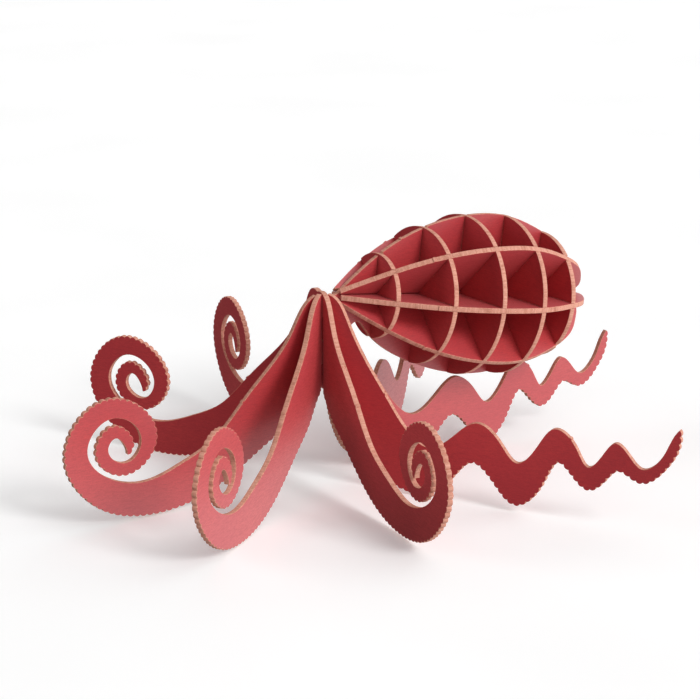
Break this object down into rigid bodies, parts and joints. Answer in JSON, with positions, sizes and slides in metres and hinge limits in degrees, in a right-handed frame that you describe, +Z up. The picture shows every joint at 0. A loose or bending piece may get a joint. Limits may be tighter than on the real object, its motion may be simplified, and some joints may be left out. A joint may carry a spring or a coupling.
{
  "type": "slot-together card octopus",
  "caption": "Standing octopus model slotted together from flat pieces of red card, with curled and wavy scalloped arms and a ribbed hollow body.",
  "frame": {"origin": "centre of the underside of the bounding box, on the floor", "axes": "+Z up; +X along the body towards its tail; the profile panel stands in the XZ direction"},
  "size_m": [0.1846, 0.1726, 0.0721],
  "materials": {
    "card": "matte"
  },
  "bodies": {
    "root": {"profile_panel": "card", "arm_panel_b": "card", "arm_panel_c": "card", "arm_panel_d": "card", "rib_1": "card", "rib_2": "card", "rib_3": "card", "rib_4": "card", "rib_5": "card", "rib_6": "card", "disc_1": "card", "disc_2": "card", "disc_3": "card", "disc_4": "card", "disc_5": "card"}
  },
  "joints": []
}
